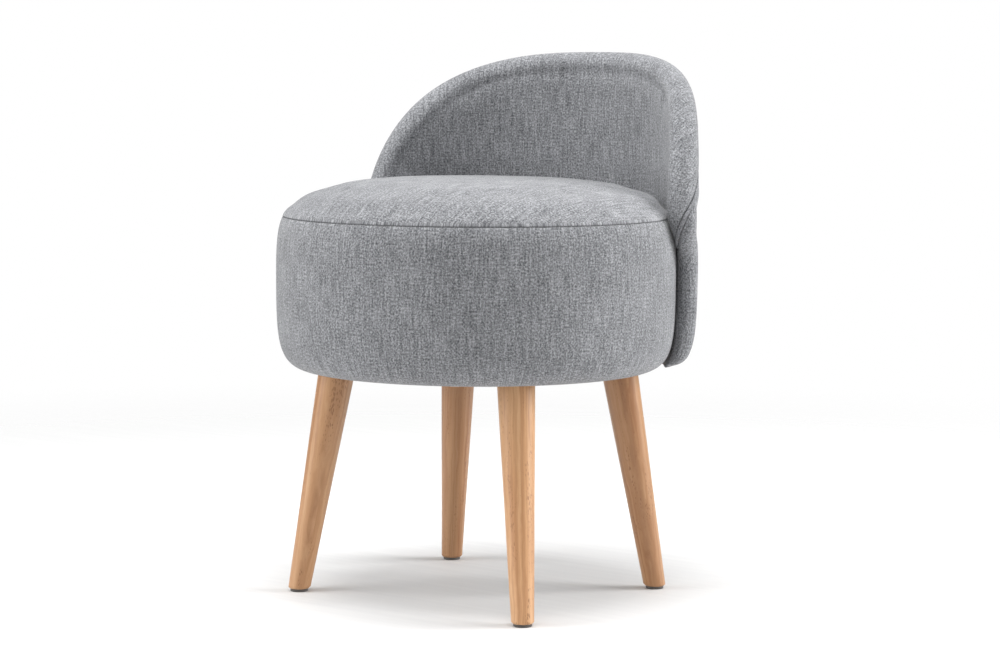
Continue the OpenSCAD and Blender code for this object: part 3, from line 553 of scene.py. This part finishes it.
def seat_crown_pad():
    """The crowned seat panel over its foam, with the lip that turns in at the seam."""
    seam_fade, pull_out, pull_up, unevenness, rear_out, rear_up = 10, 0.3, 0.15, 0.6, 4.0, 1.2
    line = CROWN[::-1]
    line = spaced(line[line[:, 1] > SEAM_Z + CROWN_STOP], CROWN_RINGS)
    along = lengths(line)
    to_seam = along[-1] - along
    free = rise(to_seam, 0, seam_fade)
    # fuller just inside the seam and along the shoulder: (by how much, where, how wide)
    swell = sum(most * hump(to_seam, *place) for most, *place in ((0.9, 5.5, 5.0), (1.7, 32, 20.0)))
    line = offset(line[::-1], (CREST * free - swell)[::-1])[::-1]
    line[0, 0] = 0
    ring, angle, faces, rim = disc(CROWN_RINGS)
    r, z, to_seam = line[ring, 0], line[ring, 1], to_seam[ring]
    pull = pucker(angle) * np.exp(-to_seam / PUCKER_REACH)
    flat = np.stack([r * np.sin(angle), r * np.cos(angle), 0 * angle], 1)
    uneven = unevenness * perlin(flat, 85.0, 2.0) * free[ring]
    # the rear shoulder is pushed out and up towards the back
    rear = rise(-np.cos(angle), -0.05, 0.8) * hump(to_seam, 30, 24.0) * rise(to_seam, 0, 24)
    points = drum_point(r + pull_out * pull + rear_out * rear,
                        z + pull_up * pull + uneven + rear_up * rear, angle)
    weave = np.stack([along[ring] * np.sin(angle), -along[ring] * np.cos(angle),
                      np.full(len(ring), CROWN_LAYER)], 1)
    m, last = len(rim), rim
    for k, (lip_r, lip_z) in enumerate(CROWN_LIP + CROWN_HIDDEN):
        wave = pull_out * pucker(angle[rim]) if k < len(CROWN_LIP) else 0
        new = np.arange(len(points), len(points) + m)
        faces += [(last[a], last[(a + 1) % m], new[(a + 1) % m], new[a]) for a in range(m)]
        points = np.concatenate([points, drum_point(lip_r + wave, lip_z, angle[rim])])
        weave = np.concatenate([weave, weave[rim]])
        last = new
    # strips across close the bottom
    faces += [(last[a], last[a + 1], last[-2 - a], last[-1 - a]) for a in range(m // 2 - 1)]
    ob = make("seat_crown_pad", points, faces, GREY, weave)
    outwards(ob)
    inflate(ob, np.append(free[ring], np.zeros(len(points) - len(ring))))
    return ob


# ---------------------------------------------------------------- the back's shell
def lean(z, r):
    """Radius r of an upright face, drawn in by the back's lean at height z."""
    return r - BACK_LEAN * np.maximum(z - SEAM_Z, 0) / (ROLL_TOP_Z - SEAM_Z)


# The inner face as (height, radius): a little outside the drum's corner and belly, then over the
# seam on its own radius up to past the back's top.
CORNER_Z = UNDER_Z + CORNER_RISE
INNER = np.array([(z, drum_r(z + (CORNER_Z - z) * 0.2) + BACK_EASE)
                  for z in np.linspace(BACK_LOW_Z, CORNER_Z, 12)]
                 + [((BELLY_Z + SEAM_Z) / 2, DRUM_R + BACK_EASE), (SEAM_Z + 1.4, BACK_IN_R),
                    (BACK_TOP_Z + 51, BACK_IN_R)])


def inner_r(z):
    return lean(z, np.interp(z, INNER[:, 0], INNER[:, 1]))


# The outer face as (radius, height): from the seam under the back it rounds out to its full radius.
HEM_T = 3.1
BACK_HEM_R = float(inner_r(BACK_LOW_Z)) + HEM_T
ROUND_RISE, ROUND_OUT = BACK_ROUND_Z - BACK_LOW_Z, BACK_OUT_R - BACK_HEM_R
OUTER = bezier((BACK_HEM_R, BACK_LOW_Z),
               (BACK_OUT_R - ROUND_OUT * 0.06, BACK_LOW_Z + ROUND_RISE * 0.015),
               (BACK_OUT_R, BACK_LOW_Z + ROUND_RISE * 0.17), (BACK_OUT_R, BACK_ROUND_Z))


def outer_r(z):
    return lean(z, np.interp(z, OUTER[:, 1], OUTER[:, 0]))


def averaged(values, reach):
    """Values along the back's edge, averaged over a few columns to each side."""
    weight = np.hanning(2 * reach + 3)[1:-1]
    long = np.concatenate([2 * values[0] - values[reach:0:-1], values,
                           2 * values[-1] - values[-2:-reach - 2:-1]])
    return np.convolve(long, weight / weight.sum(), "valid")


def back_columns():
    """Lines across the back, in the unrolled sheet, as four rows of points or directions.

    They are the roll's middle, the way out from it, the line's foot, and its knee, which is where
    the band along the edge ends."""
    span = ROLL_TOP_Z - ARCH_LOW_Z
    end = math.acos(((WIDE_Z - ARCH_LOW_Z) / span) ** (ARCH_POWER / 2))
    s = np.linspace(0, end, 500)
    arch = np.stack([WRAP * np.sin(s) ** (2 / ARCH_POWER),
                     ARCH_LOW_Z + span * np.cos(s) ** (2 / ARCH_POWER)], 1)
    t = np.linspace(0, 1, 100)[1:]
    neck = np.stack([arch[-1, 0] - (arch[-1, 0] - LOW_WRAP) * smoothstep(t),
                     WIDE_Z - (WIDE_Z - NECK_Z) * t], 1)
    half = np.concatenate([arch, neck, [[LOW_WRAP, BACK_LOW_Z]]]) * [DEG, 1]
    n = int(lengths(half)[-1] / STEP)
    half = spaced(half, n)
    path = np.concatenate([(half * [-1, 1])[:0:-1], half])
    t = np.gradient(path, axis=0)
    turn = averaged(np.unwrap(np.arctan2(t[:, 1], t[:, 0])), 9)
    out = np.stack([-np.sin(turn), np.cos(turn)], 1)
    # the middle columns stand upright, and the feet of the others fan out
    column = abs(np.arange(len(path)) - n)
    upright = int(((abs(half[:, 0]) < FAN * DEG) & (half[:, 1] > BAND_FULL_Z)).sum())
    fan = (FAN + (FAN_END - FAN) * (column - upright) / (n - upright)) * DEG
    foot = np.stack([np.where(column < upright, path[:, 0], np.sign(path[:, 0]) * fan),
                     np.full(len(path), BACK_LOW_Z)], 1)
    band = np.interp(path[:, 1], (WIDE_Z, BAND_FULL_Z), (BAND_END_W, BAND_W))
    return path, out, foot, path - out * band[:, None]


PATH, OUT, FOOT, KNEE = back_columns()
HALF = len(PATH) // 2
# On each column: the welt's place and half width, and the end of the band, round from the inner
# face; then the roll's share of its full radius, which is less low down, where the back is thin.
WELT_H = averaged(np.interp(PATH[:, 1], *np.array(WELT_LINE).T), 3)
WELT_HALF = np.where(PATH[:, 1] < WELT_END_Z, BARE_SEAM_HALF, WELT_W / 2 + WELT_GROOVE)
BAND_H = ROLL_LEN + np.linalg.norm(PATH - KNEE, axis=1)
FULL_ROLL_HALF_T = ROLL_R - 3.5    # half of the back's thickness from which the roll is full
ROLL_FULL = (outer_r(PATH[:, 1]) - inner_r(PATH[:, 1])) / 2 / FULL_ROLL_HALF_T
ROLL_FULL = np.minimum(ROLL_FULL, 1.0)


def face(share):
    """Points of the sheet between foot (share 0) and knee (share 1).

    Low down they follow the edge, so that none lies outside it where it narrows to the neck."""
    follow_z, follow_reach = 440, 30
    straight = FOOT + (KNEE - FOOT) * share
    edge_x = np.interp(straight[:, 1], PATH[HALF:, 1][::-1], PATH[HALF:, 0][::-1])
    low, high = FOOT[:, 0] / PATH[-1, 0], KNEE[:, 0] / np.maximum(abs(PATH[:, 0]), 1)
    follow = smoothstep((follow_z - PATH[:, 1]) / follow_reach)
    x = straight[:, 0] * (1 - follow) + edge_x * (low + (high - low) * share) * follow
    return np.stack([x, straight[:, 1]], 1)


def bulge(m, b, d):
    """Points at the sheet's places m between the back's faces, d under them.

    b is -1 on the inner face and 1 on the outer. No point reaches the middle of the back."""
    least = 0.2
    i, o = inner_r(m[..., 1]), outer_r(m[..., 1])
    r = (i + o) / 2 + b * ((o - i) / 2 - np.minimum(d, (o - i) / 2 - least))
    a = m[..., 0] / MEAN_R
    return np.stack([r * np.sin(a), DRUM_Y + r * np.cos(a), m[..., 1]], -1)


def edge(h, d):
    """Points d under the roll and the band: h is 0 at the inner face and ROLL_LEN at the outer."""
    turn = np.pi * np.minimum(h, ROLL_LEN) / ROLL_LEN - np.pi / 2
    reach = (ROLL_R - d) * ROLL_FULL * np.cos(turn) - np.maximum(h - ROLL_LEN, 0)
    return bulge(PATH + OUT * reach[:, None], np.sin(turn), d)


# A panel's rows are (kind, place, depth). A "face" row's place is (points of the sheet, side of
# the back) and an "edge" row's is h. A row under the surface, with a depth, is part of the lip.
FACE_ROWS, KNEE_ROWS, ROLL_ROWS, BAND_ROWS = 42, 9, 14, 9
# The surface stops at LIP_STOP from the welt's groove, or nearer where there is less than LIP_ROOM.
LIP_STOP, LIP_ROOM = 1.3, 12
LIP = [(0.5, 0.35), (0.0, 1.3), (0.0, 2.6)]    # distance from the welt's groove, and depth

# Where the pads begin to be free, and over how far: heights, or distances from the edge or welt.
SEAT_LINE, SEAT_SIDE, INNER_LOW = (405, 30), (380, 40), (372, 30)
OUTER_EDGE, OUTER_HEM, OUTER_LOW = (4, 14), (236, 24), (240, 30)
WELT_SIDE = (0, 9)
OUTER_ROLL = 14    # the outer panel is held up to this far round the roll


def on_back(kind, place, depth):
    return bulge(*place, depth) if kind == "face" else edge(place, depth)


def back_panel(name, rows, free_of, flat_of, shift):
    """A padded panel from its rows, as an outer skin and an inner one PAD_T under the surface."""
    skin, inner, flats, free = [], [], [], []
    for kind, place, depth in rows:
        w = free_of(kind, place) * (depth == 0)
        start = CREST if kind == "face" else -ROLL_SWELL
        skin.append(on_back(kind, place, start * w + depth))
        inner.append(on_back(kind, place, np.full(len(PATH), PAD_T)))
        flats.append(flat_of(kind, place))
        free.append(w)
    skin, inner = np.stack(skin, 1), np.stack(inner, 1)
    lines = np.concatenate([skin, inner[:, ::-1]], 1)
    flats, free = np.stack(flats, 1), np.stack(free, 1)
    flats = np.concatenate([flats, flats[:, ::-1]], 1) + shift
    layer = np.full(flats.shape[:2] + (1,), BACK_LAYER + shift[0])
    flats = np.concatenate([flats, layer], 2)
    free = np.concatenate([free, 0 * free], 1)
    ob = make(name, lines.reshape(-1, 3), closed_loft(*lines.shape[:2]), GREY,
              flats.reshape(-1, 3))
    outwards(ob)
    inflate(ob, free.ravel())
    return ob


def inner_free(kind, place):
    """How freely a row of the inner panel moves: not behind the seat, nor beside the welt."""
    if kind == "face":
        return rise(place[0][:, 1], *SEAT_LINE) * rise(PATH[:, 1], *SEAT_SIDE)
    return rise(WELT_H - WELT_HALF - place, *WELT_SIDE) * rise(PATH[:, 1], *INNER_LOW)


def outer_free(kind, place):
    """How freely a row of the outer panel moves: not at its hem or edges, nor beside the welt."""
    if kind == "face":
        from_edge = np.linalg.norm(place[0] - PATH, axis=1)
        return rise(place[0][:, 1], *OUTER_HEM) * rise(from_edge, *OUTER_EDGE)
    return (rise(place - WELT_H - WELT_HALF, *WELT_SIDE) * rise(PATH[:, 1], *OUTER_LOW)
            * (place > OUTER_ROLL))


def inner_flat(kind, place):
    """Flat place of the inner panel's cloth, unrolled outwards past the inner face."""
    return place[0] if kind == "face" else PATH + OUT * place[:, None]


def outer_flat(kind, place):
    """Flat place of the outer panel's cloth, unrolled outwards past the outer face."""
    return place[0] if kind == "face" else PATH - OUT * (place - ROLL_LEN)[:, None]


def back_inner_panel():
    """The inner face's panel, from its hem over the roll to the welt."""
    end = WELT_H - WELT_HALF
    room = smoothstep(end / LIP_ROOM)
    rows = [("face", (face(k / FACE_ROWS), -1.0), 0.0) for k in range(FACE_ROWS)]
    rows += [("face", (KNEE + (PATH - KNEE) * k / KNEE_ROWS, -1.0), 0.0) for k in range(KNEE_ROWS)]
    rows += [("edge", (end - LIP_STOP * room) * k / ROLL_ROWS, 0.0) for k in range(ROLL_ROWS + 1)]
    rows += [("edge", end - back * room, depth) for back, depth in LIP]
    return back_panel("back_inner_panel", rows, inner_free, inner_flat, np.array([0.0, 0.0]))


def back_outer_panel():
    """The outer face's panel, from the welt to its hem."""
    least = 0.2
    start = WELT_H + WELT_HALF
    band = np.maximum(BAND_H - start - LIP_STOP, least)
    rows = [("edge", start + back, depth) for back, depth in LIP[::-1]]
    rows += [("edge", start + LIP_STOP + band * k / BAND_ROWS, 0.0) for k in range(BAND_ROWS)]
    rows += [("face", (face(1 - k / FACE_ROWS), 1.0), 0.0) for k in range(FACE_ROWS + 1)]
    return back_panel("back_outer_panel", rows, outer_free, outer_flat, np.array([700.0, 300.0]))


# Half of the welt's cross-section, as (sideways, up): the fold that shows, its two plies going
# down between the panels, and the seam allowance that lies under them.
FOLD = [(0, 0.95), (1.1, 0.93), (1.7, 0.7), (1.95, 0.2), (1.8, -0.6), (1.7, -2.0)]
ALLOWANCE = [(1.75, -4.0), (2.6, -4.4), (5.2, -4.5), (5.2, -5.2), (0, -5.2)]


def back_welt():
    """The flat folded welt between the back's two panels, cut on the bias."""
    stitch, bias, probe = 7.5, 0.7, 1.4
    keep = PATH[:, 1] >= WELT_END_Z + 1
    top, under = edge(WELT_H, 0 * WELT_H)[keep], edge(WELT_H, 0 * WELT_H + probe)[keep]
    t = np.gradient(top, axis=0)
    up = top - under
    side = np.cross(t, up)
    side /= np.linalg.norm(side, axis=1)[:, None]
    up = np.cross(side, t)
    up /= np.linalg.norm(up, axis=1)[:, None]
    half = FOLD + ALLOWANCE
    section = np.array(half + [(-x, y) for x, y in half[-2:0:-1]])
    s = lengths(top)
    # the fold is nipped a little at each stitch, and unevenly
    uneven = np.array([noise.noise(Vector((x / 14, 0, 0))) for x in s])
    nip = 1 + 0.04 * np.sin(s * 2 * np.pi / stitch) + 0.06 * uneven
    wide = section[:, 0] * np.where(section[:, 1] > -3, nip[:, None], 1)
    lines = top[:, None] + side[:, None] * wide[..., None] + up[:, None] * section[None, :, 1:]
    girth = lengths(section)
    weave = np.stack(np.broadcast_arrays(s[:, None] * bias - girth, s[:, None] * bias + girth,
                                         WELT_LAYER), -1)
    ob = make("welt_strip", lines.reshape(-1, 3), tube_faces(*lines.shape[:2]), WELT_GREY_SHADED,
              weave.reshape(-1, 3))
    outwards(ob)
    return ob


# ---------------------------------------------------------------- seams, dust cover and staples
def seam_stitches():
    """The thread that shows in the seat's seam: short tapered pulls, one after another."""
    count, length, width, sides, inset, drop = 290, 3.3, 0.75, 6, 0.45, 0.02
    profile = [(-0.5, 0.25), (-0.42, 0.8), (-0.2, 1.0), (0.2, 1.0), (0.42, 0.8), (0.5, 0.25)]
    angle = np.linspace(-math.pi, math.pi, count + 1)[:-1]
    pull = pucker(angle)
    spots = drum_point(SEAM_R - inset + 0.3 * pull, SEAM_Z - drop + 0 * pull, angle)
    along = np.stack([np.cos(angle), np.sin(angle), 0 * angle], 1)
    out = np.stack([np.sin(angle), -np.cos(angle), 0 * angle], 1)
    a = np.linspace(0, 2 * np.pi, sides + 1)[:-1, None]
    points, faces = [], []
    for spot, t, n in zip(spots, along, out):
        around = np.cos(a) * np.cross(t, n) + np.sin(a) * n
        faces += tube_faces(len(profile), sides, len(points))
        for place, fat in profile:
            points += list(spot + t * place * length + around * fat * width / 2)
    ob = make("seat_seam_thread", points, faces, THREAD, np.array(points))
    outwards(ob)
    return ob


LEGS = [(x, y) for y in (-1, 1) for x in (-1, 1)]


def leg_at(x, y, z):
    """Middle of the leg on the side x, y (each -1 or 1), at height z."""
    row = 0 if y < 0 else 1
    a = math.radians(FOOT_ANGLE[row])
    up = z / LEG_TOP_Z
    return np.array([x * (FOOT_OUT[row] * math.sin(a) - LEAN[0] * up),
                     y * (FOOT_OUT[row] * math.cos(a) + y * DRUM_Y - LEAN[1] * up), z])


def dust_cover_sheet():
    """The thin dark cloth under the drum, sagging a little between its staples and the legs."""
    rings, thick, gap, leg_held, ripples, ripple = 32, 0.4, 0.58, 21, 30, 0.12
    ring, angle, faces, rim = disc(rings)
    r = ring * DUST_R / rings
    low = drum_point(r, 0.0, angle)
    from_leg = np.min([np.linalg.norm(low[:, :2] - leg_at(x, y, LEG_TOP_Z)[:2], axis=1)
                       for x, y in LEGS], 0)
    sag = (1.5 + 0.5 * perlin(low, 40.0, 5.0)) * rise(DUST_R - r, 2, 45)
    hang = sag * rise(from_leg, leg_held, 30)
    hang += (ripple * np.sin(angle * ripples) * np.exp(-(DUST_R - r) / 12)
             * rise(from_leg, leg_held, 10))
    flat = low.copy()
    low[:, 2] = UNDER_Z - gap - np.maximum(hang, 0)
    n, m = len(low), len(rim)
    faces = [f[::-1] for f in faces] + [tuple(i + n for i in f) for f in faces]
    faces += [(rim[a], rim[(a + 1) % m], rim[(a + 1) % m] + n, rim[a] + n) for a in range(m)]
    ob = make("dust_cover_sheet", np.concatenate([low, low + [0, 0, thick]]), faces, DUST,
              np.concatenate([flat, flat]))
    outwards(ob)
    return ob


def staples():
    """Wire staples round the dust cover's edge, their legs pushed up into the lower board."""
    count, r, half, wire, drop = 30, 156.6, 5.0, 0.45, 1.15
    bend = [(-half, 5.0), (-half, 1.2), (-half + 0.35, 0.35), (-half + 1.2, 0.0)]
    line = np.array(bend + [(0.0, 0.0)] + [(-x, z) for x, z in bend[::-1]])
    shape = [(-0.6, -wire), (0.6, -wire), (0.7, 0), (0.6, wire), (-0.6, wire), (-0.7, 0)]
    way = np.gradient(line, axis=0)
    way /= np.linalg.norm(way, axis=1)[:, None]
    draw = np.random.default_rng(5)
    points, faces = [], []
    for k in range(count):
        a = 2 * math.pi * (k + 0.5) / count + draw.normal(0, 0.006)
        skew = draw.normal(0, 0.07)
        t = np.array([math.cos(a + skew), math.sin(a + skew), 0])
        w, up = np.cross(t, (0, 0, 1)), np.array([0, 0, 1])
        spot = np.array([math.sin(a) * r, DRUM_Y - math.cos(a) * r, UNDER_Z - drop])
        faces += tube_faces(len(line), len(shape), len(points))
        for (x, z), (dx, dz) in zip(line, way):
            n = up * dx - t * dz
            points += [spot + t * x + up * z + w * p + n * q for p, q in shape]
    ob = make("dust_cover_staples", points, faces, ZINC, np.array(points), smooth=False)
    outwards(ob)
    return ob


# ---------------------------------------------------------------- the pieces, and their nodes
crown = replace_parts(seat_crown_pad(), "seat_crown_cover", "seat_foam")
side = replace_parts(seat_side_band(), "seat_side_cover", "side_foam")
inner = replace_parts(back_inner_panel(), "back_inner_cover", "back_inner_foam")
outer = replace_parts(back_outer_panel(), "back_outer_cover", "back_outer_foam")
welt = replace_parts(back_welt(), "back_welt")
stitches = seam_stitches()
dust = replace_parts(dust_cover_sheet(), "dust_cover")
pins = staples()
for ob in (crown, side, inner, outer, welt):
    soften(ob)
for ob in (crown, side, inner, outer, welt, stitches, dust, pins):
    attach(ob, "root")

# ---------------------------------------------------------------- finishes of the CAD's own parts
LEG_NAMES = ("front_left_leg", "front_right_leg", "rear_left_leg", "rear_right_leg")
# painted shade: the legs that get less light have their beech darkened by a smaller share
LEG_PAINTED_SHADE = (0.78, 0.93, 0.62, 0.68)    # each leg's share of the beech's full brightness
FINISH = {"base_board": PLY, "seat_board": PLY, "back_plywood": PLY_BENT, "drum_wall": BOARD,
          "foot_glides": GLIDE}
for k, (leg, (x, y)) in enumerate(zip(LEG_NAMES, LEGS)):
    foot, top = leg_at(x, y, 0.0), leg_at(x, y, LEG_TOP_Z)
    FINISH[leg] = beech(f"beech_{leg}", foot, top - foot, k + 1, LEG_PAINTED_SHADE[k])
for name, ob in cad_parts.items():
    post = name.startswith("post_") and name != "post_screws"
    if not ob.hide_render:
        ob.data.materials.clear()
        ob.data.materials.append(FINISH.get(name) or (PINE if post else ZINC))

# ---------------------------------------------------------------- camera, floor and light
# Fitted to the photograph; lengths in metres from here on.
YAW, PITCH, ROLL = math.radians(37.2), math.radians(-5.6), math.radians(0.3)
EYE = Vector((1.6850, -2.19065, 0.5345))
ahead = Vector((-math.sin(YAW) * math.cos(PITCH), math.cos(YAW) * math.cos(PITCH),
                math.sin(PITCH)))
right = Vector((math.cos(YAW), math.sin(YAW), 0))
above = right.cross(ahead)
x_axis = right * math.cos(ROLL) + above * math.sin(ROLL)
y_axis = above * math.cos(ROLL) - right * math.sin(ROLL)
turned = Matrix((x_axis, y_axis, -ahead)).transposed().to_4x4()
lens = bpy.data.cameras.new("camera")
lens.sensor_width, lens.sensor_fit, lens.lens = 36.0, "HORIZONTAL", 98.63
lens.clip_start, lens.clip_end = 0.05, 60.0
camera = bpy.data.objects.new("camera", lens)
camera.matrix_world = Matrix.Translation(EYE) @ turned
bpy.context.scene.collection.objects.link(camera)
bpy.context.scene.camera = camera


def floor():
    """A pale floor that fades out into the white round it."""
    fade_from, fade_to, edge_r, sides = 0.55, 1.9, 2.2, 48
    g = Graph("floor_pale", Roughness=0.6)
    at = g.add("TexCoord").outputs["Object"]
    grain = g.blot(at, (3.0, 90.0, 1.0), 3.0)
    g.put(g.ramp(grain, (0.3, (0.80, 0.80, 0.80)), (0.7, (0.84, 0.84, 0.835))),
          g.shader.inputs["Base Color"])
    far = g.add("VectorMath", at, operation="LENGTH").outputs["Value"]
    fade = g.add("MapRange", far, fade_from, fade_to, 0.0, 1.0,
                 interpolation_type="SMOOTHSTEP").outputs[0]
    both = g.add("MixShader", fade, g.shader.outputs[0], g.add("BsdfTransparent").outputs[0])
    g.put(both.outputs[0], g.tree.nodes["Material Output"].inputs["Surface"])
    rings = np.concatenate([[0.02], np.linspace(0.3, edge_r, 8)]) / MM
    a = np.linspace(0, 2 * np.pi, sides + 1)[:-1]
    points = [(r * math.cos(t), r * math.sin(t), 0.0) for r in rings for t in a]
    faces = [f[::-1] for f in grid_faces(len(rings), sides, wrap_n=True)] + [list(range(sides))]
    make("floor", points, faces, g.mat)


def softbox(name, place, size, power):
    """A square light; place is (to the right, towards the camera, up), seen from the camera."""
    middle = Vector((0, 0, 0.3))
    light = bpy.data.lights.new(name, "AREA")
    light.shape, light.size, light.energy = "SQUARE", size, power
    ob = bpy.data.objects.new(name, light)
    nearer = Vector((-ahead.x, -ahead.y, 0)).normalized()
    ob.location = right * place[0] + nearer * place[1] + Vector((0, 0, place[2]))
    ob.rotation_mode = "QUATERNION"
    ob.rotation_quaternion = (middle - ob.location).to_track_quat("-Z", "Y")
    bpy.context.scene.collection.objects.link(ob)


def white_world(lit):
    """White all round for the camera, and dimmer as a light, by the share lit."""
    world = bpy.data.worlds.new("studio")
    world.use_nodes = True
    tree = world.node_tree
    back = tree.nodes["Background"]
    seen = tree.nodes.new("ShaderNodeLightPath")
    level = tree.nodes.new("ShaderNodeMapRange")
    for key, value in (("From Min", 0.0), ("From Max", 1.0), ("To Min", lit), ("To Max", 1.0)):
        level.inputs[key].default_value = value
    tree.links.new(seen.outputs["Is Camera Ray"], level.inputs["Value"])
    tree.links.new(level.outputs[0], back.inputs["Strength"])
    back.inputs["Color"].default_value = (1, 1, 1, 1)
    bpy.context.scene.world = world


floor()
softbox("softbox_left", (-2.2, 0.4, 0.95), 1.4, 33)
softbox("softbox_right", (2.4, 0.0, 1.1), 1.4, 64)
softbox("softbox_top", (-0.1, 0.25, 2.2), 1.3, 50)
white_world(0.42)
bpy.context.scene.view_settings.view_transform = "Standard"
bpy.context.scene.view_settings.look = "None"
